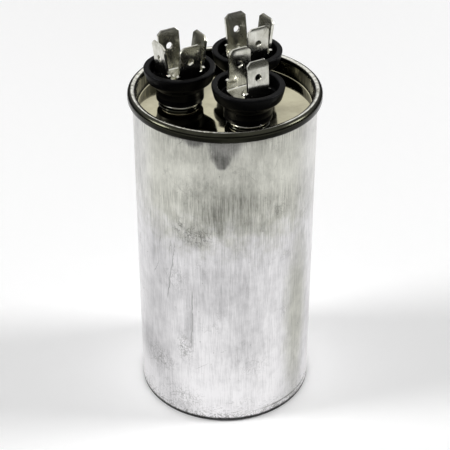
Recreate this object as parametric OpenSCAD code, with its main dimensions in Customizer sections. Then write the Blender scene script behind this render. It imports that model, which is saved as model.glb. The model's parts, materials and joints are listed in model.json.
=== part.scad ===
// Motor run capacitor with two film sections in one drawn can. A pressed lid is
// rolled onto the can with a double seam and carries three cupped terminals.
// Millimetres, +Z up, origin at the centre of the can's flat base.
// The common terminal stands on the -X side, the fan terminal front right and
// the compressor terminal back right.

/* [Can] */
// Outer diameter of the can
can_d = 50; // [48:0.5:60]
// Height from the base to the top of the rolled seam
can_h = 96.5; // [80:0.5:130]
// Wall of the can
can_wall = 0.5; // [0.4:0.05:0.7]
// Floor of the can
can_floor = 1; // [0.8:0.1:1.6]
// Outside radius between the can's wall and floor
can_corner = 0.8; // [0.3:0.1:1.2]
// Inside radius between the can's wall and floor
can_inner_corner = 0.6; // [0.3:0.1:1]

/* [Lid and seam] */
// Sheet of the lid
lid_sheet = 0.35; // [0.25:0.05:0.45]
// Depth of the lid's flat panel below the seam top
pan_depth = 4.9; // [4.4:0.1:6]
// Inside radius at the foot of the lid's standing wall
pan_corner = 0.5; // [0.3:0.1:1]
// Height of the rolled seam
seam_h = 2.85; // [2.6:0.05:3.2]
// Room between the rolled layers of the seam
seam_gap = 0.1; // [0.02:0.01:0.12]
// Distance that the can's wall is pressed inwards within the seam
seam_step = 0.2; // [0.15:0.05:0.25]
// Distance from the can's hook arch down to the end of the lid's hook
hook_relief = 0.2; // [0.1:0.05:0.4]
// Height of the turned-up collar around each terminal hole
collar_h = 1.2; // [1:0.1:1.6]
// Outer radius of the collar
collar_r = 5.3; // [4.9:0.1:5.8]
// Bend radius at the foot of the collar
collar_bend = 0.5; // [0.3:0.1:0.7]

/* [Terminal cups] */
// Radius of the circle that the three terminals stand on
terminal_circle = 12.1; // [11.8:0.1:13]
// Overall height of a cup above its grommet
cup_h = 9.4; // [8.8:0.1:11]
// Outer radius of a cup's rim
cup_r = 9.65; // [9.2:0.05:9.8]
// Width of the rim
cup_rim_w = 1.65; // [1.3:0.05:1.9]
// Depth of the cup inside
cup_depth = 3.8; // [3:0.1:4.4]
// Outer radius at the foot of the cup's wall
cup_foot_r = 9.1; // [8.8:0.05:9.2]
// Height of the wall from its foot to the rim
cup_wall_h = 3.1; // [2.6:0.1:3.6]
// Radius of the neck below the cup
neck_r = 6.45; // [6:0.05:7]
// Slope of the flare between neck and wall, in degrees
flare_angle = 42; // [36:1:46]
// Radius of the spigot that passes the lid
spigot_r = 4.2; // [3.8:0.1:4.4]
// Rounding of the cup's edges
cup_edge = 0.4; // [0.2:0.05:0.6]
// Inside radius at the cup's floor
cup_fillet = 0.8; // [0.4:0.1:1.2]

/* [Blades] */
// Direction that a terminal's first blade faces, in degrees from +Y
blade_turn = 31; // [0:1:60]
// Width of a blade
blade_w = 6.35; // [6.2:0.05:6.4]
// Sheet of a blade
blade_sheet = 0.8; // [0.7:0.05:0.85]
// Height of the blades above the cup's floor
blade_h = 12.2; // [11:0.1:14]
// Width of the shouldered foot of a blade
shoulder_w = 7.7; // [7:0.1:7.9]
// Height of the shoulder above the cup's floor
shoulder_h = 3.9; // [3:0.1:4.5]
// Distance from the terminal's axis to the outer face of a blade at its fold
blade_reach = 5.3; // [5.2:0.05:5.6]
// Inside radius of the fold
fold_r = 0.5; // [0.3:0.05:0.8]
// Corner cut at the tip
tip_cut = 1.1; // [0.6:0.1:1.5]
// Length of the bevel at the tip
tip_bevel = 0.9; // [0.5:0.1:1.2]
// Thickness taken off each face by the bevel
tip_bevel_d = 0.22; // [0.1:0.02:0.3]
// Radius of the latching hole
latch_r = 0.95; // [0.7:0.05:1.1]
// Distance from the tip to the middle of the latching hole
latch_drop = 4.6; // [3.5:0.1:5]
// Radius of the locating dimple on the compressor terminal
dimple_r = 0.65; // [0.4:0.05:0.8]
// Depth of the dimple
dimple_d = 0.15; // [0.1:0.05:0.3]
// Distance from the tip to the middle of the dimple
dimple_drop = 9; // [7:0.1:9.4]
// Outward lean of the common terminal's blades, in degrees
common_lean = [7, 7, 9, 6]; // [-5:0.5:12]
// Outward lean of the compressor terminal's blades, in degrees
compressor_lean = [9.5, 2.5, 7.5]; // [-5:0.5:12]
// Outward lean of the fan terminal's blades, in degrees
fan_lean = [-2.5, -4.5]; // [-5:0.5:12]

/* [Rivets and seals] */
// Radius of a rivet's shank
shank_r = 1.5; // [1.2:0.05:1.9]
// Room around a shank in the pieces that it clamps
shank_gap = 0.05; // [0.02:0.01:0.1]
// Head radius of the compressor and fan rivets
head_r = 1.9; // [1.8:0.1:2.6]
// Head radius of the common rivet, whose edge is split into a star
star_head_r = 2.4; // [2.2:0.1:2.8]
// Height of a rivet's head
head_h = 0.8; // [0.5:0.1:1.2]
// Radius of a rivet's lower head
lower_head_r = 2.6; // [2.2:0.1:3]
// Height of a rivet's lower head
lower_head_h = 0.8; // [0.5:0.1:1.2]
// Flange thickness of the rubber grommet between collar and cup
grommet_t = 0.6; // [0.4:0.1:1]
// Flange radius of the grommet
grommet_r = 5.2; // [5:0.05:5.6]
// Room around the grommet's sleeve
grommet_gap = 0.05; // [0.02:0.01:0.1]
// Thickness of the insulating washer under the lid
washer_t = 1.5; // [1:0.1:2.5]
// Radius of the insulating washer
washer_r = 8; // [6.5:0.1:8.5]
// Thickness of a solder tag
tag_t = 0.5; // [0.4:0.1:0.8]
// Radius of a solder tag's eye
tag_eye_r = 3.4; // [3:0.1:4]
// Width of a solder tag's tail
tag_w = 3; // [2.4:0.1:4]
// Distance from the rivet to the lead on the fan and compressor tags
tag_reach = 5; // [4.4:0.1:5.6]

/* [Winding] */
// Outer radius of the core tube
core_r = 5; // [4.5:0.1:5.5]
// Wall of the core tube
core_wall = 1.5; // [1:0.1:2]
// Outer radius of the fan section
fan_r = 9; // [8.8:0.1:11]
// Thickness of the insulating barrier between the two sections
barrier_t = 0.5; // [0.3:0.1:1]
// Thickness of the outer wrap
wrap_t = 0.7; // [0.4:0.1:1.2]
// Room between the wound layers
wind_gap = 0.05; // [0.02:0.01:0.1]
// Thickness of the sprayed metal end contacts
contact_t = 0.6; // [0.4:0.1:1]
// Wall and floor of the base insulator
base_wall = 1; // [0.8:0.1:1.5]
// Height of the base insulator's wall
base_wall_h = 9; // [6:0.5:20]
// Height of the ribs that carry the winding
rib_h = 2.5; // [2.2:0.1:4]
// Width of a rib
rib_w = 1.4; // [1:0.1:2.5]
// Room around the base insulator and the winding
side_gap = 0.2; // [0.1:0.05:0.4]
// Thickness of the insulating disc under the lid
disc_t = 1.6; // [1.2:0.1:2.5]
// Clear height between the disc and the rivets above it
disc_room = 1; // [0.6:0.1:2]
// Height of the disc's skirt, which stands on the winding
skirt_h = 3; // [2:0.5:6]
// Width of the disc's skirt
skirt_w = 2; // [1.4:0.1:3]
// Radius of an insulated lead
lead_r = 0.8; // [0.6:0.05:1]
// Bend radius of the common lead
lead_bend = 2; // [1.6:0.1:2.4]
// Length of the common lead along the bottom contact
lead_foot = 9; // [7:0.5:16]
// Room around a lead in the disc
lead_gap = 0.4; // [0.2:0.1:0.8]

/* [Hidden] */
$fn = 96;
overlap = 0.2;

// The seam, from the can's wall outwards
can_r = can_d / 2;
can_in = can_r - can_wall;
seam_z = can_h - seam_h;
seam_can_r = can_r - seam_step;
seam_can_in = can_in - seam_step;
hook_in = seam_can_r + seam_gap;
hook_out = hook_in + lid_sheet;
body_hook_in = hook_out + seam_gap;
body_hook_out = body_hook_in + can_wall;
seam_in = body_hook_out + seam_gap;
seam_r = seam_in + lid_sheet;
stand_out = seam_can_in - seam_gap;
stand_in = stand_out - lid_sheet;
arch_r = (body_hook_out - seam_can_in) / 2;
arch_x = seam_can_in + arch_r;
crown_r = (seam_r - stand_in) / 2;
crown_z = can_h - crown_r;
curl_r = (seam_r - hook_in) / 2;
curl_x = hook_in + curl_r;
curl_z = seam_z + curl_r;
hook_top = crown_z - hook_relief;

// Levels of the terminal stack
lid_z = can_h - pan_depth;
lid_under = lid_z - lid_sheet;
collar_top = lid_z + collar_h;
neck_z = collar_top + grommet_t;
cup_floor_z = neck_z + cup_h - cup_depth;
foot_top = cup_floor_z + blade_sheet;
washer_z = lid_under - washer_t;
tag_z = washer_z - tag_t;
rivet_z = tag_z - lower_head_h;

// Radii of the terminal stack
hole_r = shank_r + shank_gap;
collar_in = collar_r - lid_sheet;
sleeve_out = collar_in - grommet_gap;
sleeve_in = spigot_r + grommet_gap;
cup_in = cup_r - cup_rim_w;
fold_start = blade_reach - blade_sheet - fold_r;

// The cup's flare: its lower fillet ends where the straight slope begins
flare_top_z = cup_h - cup_wall_h;
flare_run = cup_foot_r - neck_r - 2 * cup_edge * (1 - sin(flare_angle));
flare_z = flare_top_z - 2 * cup_edge * cos(flare_angle) - flare_run * tan(flare_angle);

// Levels and radii of the winding
disc_top = rivet_z - disc_room;
disc_z = disc_top - disc_t;
stack_top = disc_z - skirt_h;
winding_top = stack_top - contact_t;
base_top = can_floor + base_wall;
stack_z = base_top + rib_h;
winding_z = stack_z + contact_t;
base_r = can_in - side_gap;
base_in = base_r - base_wall;
wrap_r = base_in - side_gap;
compressor_r = wrap_r - wrap_t - wind_gap;
barrier_in = fan_r + wind_gap;
barrier_r = barrier_in + barrier_t;
compressor_in = barrier_r + wind_gap;
section_in = core_r + wind_gap;
skirt_r = wrap_r;

// Angles of the terminals about the can's axis
COMMON = 180;
COMPRESSOR = 60;
FAN = -60;

// Points of an arc, both ends included
function arc(centre, radius, from, to, steps = 6) = [
    for (i = [0:steps])
        let (a = from + (to - from) * i / steps)
        centre + radius * [cos(a), sin(a)]
];

// A ring or a disc standing on level z
module ring(outer, inner, z, height) {
    translate([0, 0, z])
    difference() {
        cylinder(r = outer, h = height);
        if (inner > 0)
            translate([0, 0, -overlap])
            cylinder(r = inner, h = height + 2 * overlap);
    }
}

// Moves its children to a terminal's axis
module at_terminal(angle) {
    rotate([0, 0, angle])
    translate([terminal_circle, 0, 0])
    rotate([0, 0, -angle])
    children();
}

// Drawn can, whose top edge is rolled outwards and down as the seam's inner hook
module can() {
    outline = concat(
        [[0, 0]],
        arc([can_r - can_corner, can_corner], can_corner, -90, 0),
        [[can_r, seam_z], [seam_can_r, seam_z + 3 * seam_step]],
        arc([arch_x, crown_z], arch_r - can_wall, 180, 0),
        [[body_hook_in, curl_z], [body_hook_out, curl_z]],
        arc([arch_x, crown_z], arch_r, 0, 180, 10),
        [[seam_can_in, seam_z + 3 * seam_step], [can_in, seam_z]],
        arc([can_in - can_inner_corner, can_floor + can_inner_corner], can_inner_corner, 0, -90),
        [[0, can_floor]]
    );
    color("silver")
    rotate_extrude()
    polygon(outline);
}

// Lid: flat panel, standing wall, crown, seam wall and a hook tucked under the can's
module lid_sheet_metal() {
    corner = [stand_in - pan_corner, lid_z + pan_corner];
    outline = concat(
        [[0, lid_under], [0, lid_z]],
        arc(corner, pan_corner, -90, 0),
        arc([arch_x, crown_z], crown_r, 180, 0, 14),
        arc([curl_x, curl_z], curl_r, 0, -180, 12),
        [[hook_in, hook_top], [hook_out, hook_top]],
        arc([curl_x, curl_z], curl_r - lid_sheet, 180, 360),
        arc([arch_x, crown_z], crown_r - lid_sheet, 0, 180, 10),
        arc(corner, pan_corner + lid_sheet, 0, -90)
    );
    rotate_extrude()
    polygon(outline);
}

// Collar turned up around a terminal hole, with a short lap into the panel
module collar() {
    bend_x = collar_r + collar_bend;
    bend_z = lid_z + collar_bend;
    lap = bend_x + overlap;
    outline = concat(
        [[lap, lid_under], [lap, lid_z]],
        arc([bend_x, bend_z], collar_bend, 270, 180),
        [[collar_r, collar_top], [collar_in, collar_top]],
        arc([bend_x, bend_z], collar_bend + lid_sheet, 180, 270)
    );
    rotate_extrude()
    polygon(outline);
}

module lid() {
    color("lightgray")
    union() {
        difference() {
            lid_sheet_metal();
            for (angle = [COMMON, COMPRESSOR, FAN])
                at_terminal(angle)
                translate([0, 0, lid_under - overlap])
                cylinder(r = collar_r + collar_bend, h = lid_sheet + 2 * overlap);
        }
        for (angle = [COMMON, COMPRESSOR, FAN])
            at_terminal(angle)
            collar();
    }
}

// Sealing compound that fills the seam above the lid's hook
module seam_compound() {
    color("darkslategray")
    ring(hook_out, hook_in, hook_top, hook_relief);
}

// Moulded cup: spigot through the lid, neck, flare, and a wall with a flat rim
module cup(angle) {
    slope = [-sin(flare_angle), cos(flare_angle)];
    outline = concat(
        [[hole_r, lid_under - neck_z], [spigot_r, lid_under - neck_z], [spigot_r, 0]],
        [[neck_r - cup_edge, 0], [neck_r, cup_edge]],
        arc([neck_r + cup_edge, flare_z], cup_edge, 180, 90 + flare_angle, 4),
        arc([cup_foot_r - cup_edge, flare_top_z], cup_edge, flare_angle - 90, 0, 4),
        arc([cup_r - cup_edge, cup_h - cup_edge], cup_edge, 0, 90),
        arc([cup_in + cup_edge, cup_h - cup_edge], cup_edge, 90, 180),
        arc([cup_in - cup_fillet, cup_h - cup_depth + cup_fillet], cup_fillet, 0, -90),
        [[hole_r, cup_h - cup_depth]]
    );
    color([0.08, 0.08, 0.09])
    at_terminal(angle)
    translate([0, 0, neck_z])
    rotate_extrude()
    polygon(outline);
}

// Rubber grommet: flange on the collar's lip and a sleeve down to the lid's underside
module grommet(angle) {
    color("dimgray")
    at_terminal(angle)
    union() {
        ring(grommet_r, sleeve_in, collar_top, grommet_t);
        ring(sleeve_out, sleeve_in, lid_under, neck_z - lid_under);
    }
}

// Half of the foot, folded up into one blade that leans outwards
module blade(lean, dimpled) {
    outer = fold_r + blade_sheet;
    length = blade_h - outer;
    shoulder = shoulder_h - outer;
    fold_axis = [fold_start, outer];
    out = [cos(lean), -sin(lean)];
    up = [sin(lean), cos(lean)];
    side = concat(
        [[0, 0]],
        arc(fold_axis, outer, -90, -lean, 8),
        [fold_axis + outer * out + (length - tip_bevel) * up],
        [fold_axis + (outer - tip_bevel_d) * out + length * up],
        [fold_axis + (fold_r + tip_bevel_d) * out + length * up],
        [fold_axis + fold_r * out + (length - tip_bevel) * up],
        arc(fold_axis, fold_r, -lean, -90, 8),
        [[0, blade_sheet]]
    );
    face = [
        [-blade_w / 2, shoulder - overlap], [blade_w / 2, shoulder - overlap],
        [blade_w / 2, length - tip_cut],
        [blade_w / 2 - tip_cut - overlap, length + overlap],
        [tip_cut + overlap - blade_w / 2, length + overlap],
        [-blade_w / 2, length - tip_cut]
    ];
    difference() {
        translate([-shoulder_w / 2, 0, 0])
        rotate([90, 0, 90])
        linear_extrude(shoulder_w)
        polygon(side);

        translate([0, fold_start, outer])
        rotate([-lean, 0, 0])
        translate([0, outer + overlap, 0])
        rotate([90, 0, 0]) {
            linear_extrude(blade_sheet + 2 * overlap)
            difference() {
                translate([-shoulder_w / 2 - overlap, shoulder])
                square([shoulder_w + 2 * overlap, length - shoulder + overlap]);

                polygon(face);
            }
            translate([0, length - latch_drop, 0])
            cylinder(r = latch_r, h = blade_sheet + 2 * overlap);

            if (dimpled)
                translate([0, length - dimple_drop, 0])
                cylinder(r = dimple_r, h = dimple_d + overlap);
        }
    }
    if (dimpled)
        translate([0, fold_start, outer])
        rotate([-lean, 0, 0])
        translate([0, outer - 2 * dimple_d, length - dimple_drop])
        rotate([90, 0, 0])
        cylinder(r = dimple_r, h = blade_sheet - dimple_d);
}

// Folded stamping: a foot plate on the cup's floor with a blade at each listed side
module blades(angle, leans, dimpled = false) {
    sides = [0, 180, 270, 90];
    color("gainsboro")
    at_terminal(angle)
    translate([0, 0, cup_floor_z])
    rotate([0, 0, blade_turn])
    difference() {
        union() {
            for (i = [0:len(leans) - 1])
                rotate([0, 0, sides[i]])
                blade(leans[i], dimpled && i == 0);
        }
        translate([0, 0, -overlap])
        cylinder(r = hole_r, h = blade_sheet + 2 * overlap);
    }
}

// Rivet: low domed head on the foot plate, shank, and a flat head under the tag
module rivet(angle, top_r, points) {
    dome = concat(
        [[0, 0], [top_r, 0]],
        arc([top_r - head_h, 0], head_h, 0, 90),
        [[0, head_h]]
    );
    color("whitesmoke")
    at_terminal(angle)
    union() {
        translate([0, 0, rivet_z])
        cylinder(r = lower_head_r, h = lower_head_h);

        translate([0, 0, rivet_z])
        cylinder(r = shank_r, h = foot_top - rivet_z + head_h / 2);

        difference() {
            translate([0, 0, foot_top])
            rotate_extrude()
            polygon(dome);

            if (points > 0)
                for (i = [0:points - 1])
                    rotate([0, 0, blade_turn + (i + 0.5) * 360 / points])
                    translate([shank_r + shank_gap, -head_h / 4, foot_top - overlap])
                    cube([top_r, head_h / 2, head_h + 2 * overlap]);
        }
    }
}

// Insulating washer against the lid's underside
module washer(angle) {
    color("peru")
    at_terminal(angle)
    ring(washer_r, hole_r, washer_z, washer_t);
}

// Solder tag: an eye around the rivet and a tail with a round end over the lead
module tag(angle, tail_turn, reach) {
    color("goldenrod")
    at_terminal(angle)
    rotate([0, 0, tail_turn])
    translate([0, 0, tag_z])
    difference() {
        union() {
            cylinder(r = tag_eye_r, h = tag_t);

            translate([0, -tag_w / 2, 0])
            cube([reach, tag_w, tag_t]);

            translate([reach, 0, 0])
            cylinder(r = tag_w / 2, h = tag_t);
        }
        translate([0, 0, -overlap])
        cylinder(r = hole_r, h = tag_t + 2 * overlap);
    }
}

// Straight lead from a tag down to its end contact
module straight_lead(angle, radius) {
    color("firebrick")
    rotate([0, 0, angle])
    translate([radius, 0, stack_top])
    cylinder(r = lead_r, h = tag_z - stack_top, $fn = 32);
}

// Common lead: down the core tube, then out along the underside of the bottom contact
module common_lead() {
    run_z = stack_z - lead_r;
    color("gold")
    union() {
        translate([0, 0, run_z + lead_bend])
        cylinder(r = lead_r, h = tag_z - run_z - lead_bend, $fn = 32);

        translate([lead_bend, 0, run_z + lead_bend])
        rotate([-90, 0, 180])
        rotate_extrude(angle = 90, $fn = 48)
        translate([lead_bend, 0])
        circle(r = lead_r, $fn = 32);

        translate([lead_bend, 0, run_z])
        rotate([0, 90, 0])
        cylinder(r = lead_r, h = lead_foot - lead_bend, $fn = 32);
    }
}

// Disc that keeps the leads in place under the lid, on a skirt around the winding's edge
module insulating_disc() {
    color("tan")
    difference() {
        union() {
            ring(skirt_r, 0, disc_z, disc_t);
            ring(skirt_r, skirt_r - skirt_w, stack_top, skirt_h + overlap);
        }
        translate([0, 0, disc_z - overlap]) {
            cylinder(r = lead_r + lead_gap, h = disc_t + 2 * overlap);

            rotate([0, 0, FAN])
            translate([terminal_circle - tag_reach, 0, 0])
            cylinder(r = lead_r + lead_gap, h = disc_t + 2 * overlap);

            rotate([0, 0, COMPRESSOR])
            translate([terminal_circle + tag_reach, 0, 0])
            cylinder(r = lead_r + lead_gap, h = disc_t + 2 * overlap);
        }
    }
}

module core_tube() {
    color("ivory")
    ring(core_r, core_r - core_wall, stack_z, stack_top - stack_z);
}

module fan_winding() {
    color("lightsteelblue")
    ring(fan_r, section_in, winding_z, winding_top - winding_z);
}

module section_barrier() {
    color("khaki")
    ring(barrier_r, barrier_in, winding_z, stack_top - winding_z);
}

module compressor_winding() {
    color("slategray")
    ring(compressor_r, compressor_in, winding_z, winding_top - winding_z);
}

module outer_wrap() {
    color("wheat")
    ring(wrap_r, wrap_r - wrap_t, stack_z, stack_top - stack_z);
}

// End contact shared by both sections at the winding's bottom
module common_contact() {
    color("gray")
    ring(compressor_r, section_in, stack_z, contact_t);
}

module compressor_contact() {
    color("gray")
    ring(compressor_r, compressor_in, winding_top, contact_t);
}

module fan_contact() {
    color("gray")
    ring(fan_r, section_in, winding_top, contact_t);
}

// Plastic tray on the can's floor: a low wall around the winding and ribs below it
module base_insulator() {
    color("linen")
    union() {
        ring(base_r - can_inner_corner, 0, can_floor, base_wall);
        ring(base_r, base_in, can_floor + can_inner_corner, base_wall_h - can_inner_corner);
        for (angle = [45:90:315])
            rotate([0, 0, angle])
            translate([core_r, -rib_w / 2, can_floor])
            cube([base_in - core_r + base_wall / 2, rib_w, base_wall + rib_h]);
    }
}

can();
lid();
seam_compound();
cup(COMMON);  // common_cup
cup(COMPRESSOR);  // compressor_cup
cup(FAN);  // fan_cup
blades(COMMON, common_lean);  // common_blades
blades(COMPRESSOR, compressor_lean, true);  // compressor_blades
blades(FAN, fan_lean);  // fan_blades
rivet(COMMON, star_head_r, 6);  // common_rivet
rivet(COMPRESSOR, head_r, 0);  // compressor_rivet
rivet(FAN, head_r, 0);  // fan_rivet
grommet(COMMON);  // common_grommet
grommet(COMPRESSOR);  // compressor_grommet
grommet(FAN);  // fan_grommet
washer(COMMON);  // common_washer
washer(COMPRESSOR);  // compressor_washer
washer(FAN);  // fan_washer
tag(COMMON, 0, terminal_circle);  // common_tag
tag(COMPRESSOR, COMPRESSOR, tag_reach);  // compressor_tag
tag(FAN, FAN + 180, tag_reach);  // fan_tag
common_lead();
straight_lead(COMPRESSOR, terminal_circle + tag_reach);  // compressor_lead
straight_lead(FAN, terminal_circle - tag_reach);  // fan_lead
insulating_disc();
core_tube();
fan_winding();
section_barrier();
compressor_winding();
outer_wrap();
common_contact();
compressor_contact();
fan_contact();
base_insulator();
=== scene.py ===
# %% [markdown]
# # A motor run capacitor
# This lesson dresses a packed capacitor: a drawn can, a lid rolled onto it, and
# three black cups with folded push-on blades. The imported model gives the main
# sizes and places. The finer ones, and where the marks on the can lie, are
# written down where they are used. All lengths are in metres.

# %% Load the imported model
import json
import math
import bpy
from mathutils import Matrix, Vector


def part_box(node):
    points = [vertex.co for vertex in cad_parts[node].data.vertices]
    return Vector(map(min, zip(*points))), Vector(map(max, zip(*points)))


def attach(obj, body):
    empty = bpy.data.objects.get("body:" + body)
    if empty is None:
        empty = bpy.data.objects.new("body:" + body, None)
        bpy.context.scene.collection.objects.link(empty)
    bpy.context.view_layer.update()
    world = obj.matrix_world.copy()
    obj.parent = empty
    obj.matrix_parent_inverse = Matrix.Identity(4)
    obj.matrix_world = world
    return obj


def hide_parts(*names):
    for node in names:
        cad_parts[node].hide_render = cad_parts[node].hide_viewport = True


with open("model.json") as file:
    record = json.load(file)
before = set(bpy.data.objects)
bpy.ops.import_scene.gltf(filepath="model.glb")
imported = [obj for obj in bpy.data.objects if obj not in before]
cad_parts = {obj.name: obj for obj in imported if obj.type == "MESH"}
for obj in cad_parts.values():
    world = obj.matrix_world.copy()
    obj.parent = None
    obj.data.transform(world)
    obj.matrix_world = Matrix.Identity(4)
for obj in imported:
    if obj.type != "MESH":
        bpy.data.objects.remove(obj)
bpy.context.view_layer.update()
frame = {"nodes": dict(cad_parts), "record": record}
mm = 0.001
print("nodes loaded:", len(frame["nodes"]))

# %% [markdown]
# ## Sizes
# The record states the can's radius as a mount, and the other levels are the
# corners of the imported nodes. Reading them here keeps the pieces in step with
# the solids. Only the lid's sheet and the height of its rolled seam, which no
# corner shows, are written down.

# %% Read the sizes
can_r = frame["record"]["mounts"][1]["dims"]["r_mm"] * mm
sheet = 0.35 * mm
seam_h = 2.85 * mm
panel_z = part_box("lid")[0].z + sheet
seam_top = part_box("lid")[1].z
seam_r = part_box("lid")[1].x
cup_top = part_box("common_cup")[1].z
cup_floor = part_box("common_blades")[0].z
terminals = {}
for name in ("common", "compressor", "fan"):
    low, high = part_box(name + "_cup")
    terminals[name] = ((low.x + high.x) / 2, (low.y + high.y) / 2)
print("can radius", can_r, "seam top", seam_top, "cup floor", cup_floor)

# %% [markdown]
# ## Camera
# The view looks down at about a third of a right angle, from a little under
# forty centimetres away. A long lens keeps the can's sides almost upright. The
# tilt is counted from looking straight down.

# %% Place the camera
lens_mm, sensor_mm = 107.48, 36
stand_back, stand_high, tilt = 0.32224, 0.26254, 56.87
eye = bpy.data.cameras.new("eye")
eye.lens = lens_mm
eye.sensor_width = sensor_mm
camera = bpy.data.objects.new("camera", eye)
camera.location = (0, -stand_back, stand_high)
camera.rotation_euler = (math.radians(tilt), 0, 0)
bpy.context.scene.collection.objects.link(camera)
bpy.context.scene.camera = camera
print("camera", camera.location[:])

# %% [markdown]
# ## Small helpers for modelling
# Round sheet-metal parts are drawn up ring by ring: a circle of edges is
# extruded, moved up and scaled, which is what a spinning lathe does to a disc.
# Selecting by place needs a helper too, because operators act on whatever is
# selected.

# %% Helpers for selecting and drawing rings
def drop_selection():
    """Leaves edit mode, with nothing selected."""
    if bpy.context.mode != "OBJECT":
        bpy.ops.object.mode_set(mode="OBJECT")
    for thing in bpy.context.selected_objects:
        thing.select_set(False)


def select_where(piece, test):
    """In edit mode, leaves only the points selected for which test(point) is true."""
    bpy.ops.mesh.select_mode(type="VERT")
    bpy.ops.mesh.select_all(action="DESELECT")
    bpy.ops.object.mode_set(mode="OBJECT")
    for point in piece.data.vertices:
        point.select = bool(test(point.co))
    bpy.ops.object.mode_set(mode="EDIT")
    bpy.ops.mesh.select_mode(type="EDGE")


def draw_rings(start, rings, centre=(0, 0)):
    """Extrudes the selected ring, of radius and height start, through each (radius, height)."""
    radius, height = start
    for next_radius, next_height in rings:
        bpy.ops.mesh.extrude_region_move(
            TRANSFORM_OT_translate={"value": (0, 0, next_height - height)})
        k = next_radius / radius
        bpy.ops.transform.resize(value=(k, k, 1), center_override=(*centre, next_height))
        radius, height = next_radius, next_height


def arc(centre_r, centre_z, radius, start, end, steps):
    """Points (radius, height) of an arc, in degrees, without its first point."""
    turns = [start + (end - start) * i / steps for i in range(1, steps + 1)]
    return [(centre_r + radius * math.cos(math.radians(a)),
             centre_z + radius * math.sin(math.radians(a))) for a in turns]

# %% [markdown]
# A finished piece has its origin at the world's, its faces pointing outwards
# and its sharp edges kept sharp. The same last steps serve every piece, so
# they are one helper.

# %% Helpers for finishing a piece
def apply_modifier(piece, kind, **settings):
    """Adds a modifier and applies it at once."""
    modifier = piece.modifiers.new(kind.title(), kind)
    for setting, value in settings.items():
        setattr(modifier, setting, value)
    bpy.context.view_layer.objects.active = piece
    bpy.ops.object.modifier_apply(modifier=modifier.name)


def close_up(piece):
    """Merges doubles and turns all faces outwards."""
    bpy.context.view_layer.objects.active = piece
    bpy.ops.object.mode_set(mode="EDIT")
    bpy.ops.mesh.select_all(action="SELECT")
    bpy.ops.mesh.remove_doubles(threshold=0.002 * mm)
    bpy.ops.mesh.normals_make_consistent(inside=False)
    bpy.ops.object.mode_set(mode="OBJECT")


def finish_piece(piece, name, node, finish, smooth=35, flat_faces=False):
    drop_selection()
    piece.select_set(True)
    bpy.context.view_layer.objects.active = piece
    bpy.ops.object.transform_apply(location=True, rotation=True, scale=True)
    bpy.ops.object.shade_smooth_by_angle(angle=math.radians(smooth))
    if flat_faces:
        apply_modifier(piece, "WEIGHTED_NORMAL", mode="FACE_AREA", weight=100, keep_sharp=True)
    piece.name = name
    piece.data.name = name
    piece.data.materials.clear()
    piece.data.materials.append(finish)
    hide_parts(node)
    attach(piece, "root")
    print(name, len(piece.data.polygons), "faces")

# %% [markdown]
# ## Helpers for finishes
# Every finish is one Principled shader fed by small nodes. This kit
# makes a node, wires numbers or other nodes into it and hands back its output,
# so a finish reads from top to bottom like a recipe.

# %% A kit for procedural finishes
class Finish:
    def __init__(self, name, **values):
        self.material = bpy.data.materials.new(name)
        self.material.use_nodes = True
        self.tree = self.material.node_tree
        self.shader = self.tree.nodes["Principled BSDF"]
        self.place = self.make("ShaderNodeTexCoord").outputs["Object"]
        for socket, value in values.items():
            self.shader.inputs[socket.replace("_", " ")].default_value = value

    def make(self, kind, inputs=(), **settings):
        """Adds a node and wires or sets its inputs."""
        node = self.tree.nodes.new(kind)
        for setting, value in settings.items():
            setattr(node, setting, value)
        for socket, value in dict(inputs).items():
            if isinstance(value, bpy.types.NodeSocket):
                self.tree.links.new(value, node.inputs[socket])
            else:
                node.inputs[socket].default_value = value
        return node

    def sum(self, operation, a, b=0.0):
        """Arithmetic on two values, such as ADD or MULTIPLY."""
        return self.make("ShaderNodeMath", {0: a, 1: b}, operation=operation).outputs[0]

    def stretch(self, x, y, z):
        """The place on the piece, scaled along each axis: a small number draws a pattern out."""
        inputs = {"Vector": self.place, "Scale": (x, y, z)}
        return self.make("ShaderNodeMapping", inputs).outputs[0]

    def noise(self, vector, scale, detail=3.0, rough=0.5, bend=0.0):
        inputs = {"Vector": vector, "Scale": scale, "Detail": detail, "Roughness": rough,
                  "Distortion": bend}
        return self.make("ShaderNodeTexNoise", inputs).outputs["Fac"]

    def ramp(self, value, low, high, bottom=0.0, top=1.0, shape="SMOOTHSTEP"):
        """A smooth step from bottom to top as value goes from low to high."""
        inputs = {"Value": value, "From Min": low, "From Max": high,
                  "To Min": bottom, "To Max": top}
        return self.make("ShaderNodeMapRange", inputs, interpolation_type=shape).outputs[0]

    def slope(self, value, low, high, bottom=0.0, top=1.0):
        """Like ramp, but straight."""
        return self.ramp(value, low, high, bottom, top, "LINEAR")

    def swing(self, noise, amount):
        """Noise moved so that it swings around nought, and made amount times as strong."""
        return self.sum("MULTIPLY", self.sum("SUBTRACT", noise, 0.5), amount)

    def distance(self, a, b):
        """How far a is from b."""
        return self.sum("ABSOLUTE", self.sum("SUBTRACT", a, b))

    def gather(self, operation, masks):
        """Joins many masks: MAXIMUM keeps the strongest, ADD sums them up."""
        result = masks[0]
        for mask in masks[1:]:
            result = self.sum(operation, result, mask)
        return result

    def blend(self, mask, a, b):
        """Colour a where the mask is nought, colour b where it is one."""
        inputs = {0: mask, 6: a, 7: b}
        return self.make("ShaderNodeMix", inputs, data_type="RGBA").outputs[2]

    def bump(self, height, depth):
        """Makes the surface look as if it rose and sank by depth."""
        inputs = {"Height": height, "Distance": depth, "Strength": 1.0}
        return self.make("ShaderNodeBump", inputs).outputs[0]

    def feed(self, **sockets):
        """Wires the results to the shader and returns the finished material."""
        for socket, value in sockets.items():
            self.tree.links.new(value, self.shader.inputs[socket.replace("_", " ")])
        return self.material

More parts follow.
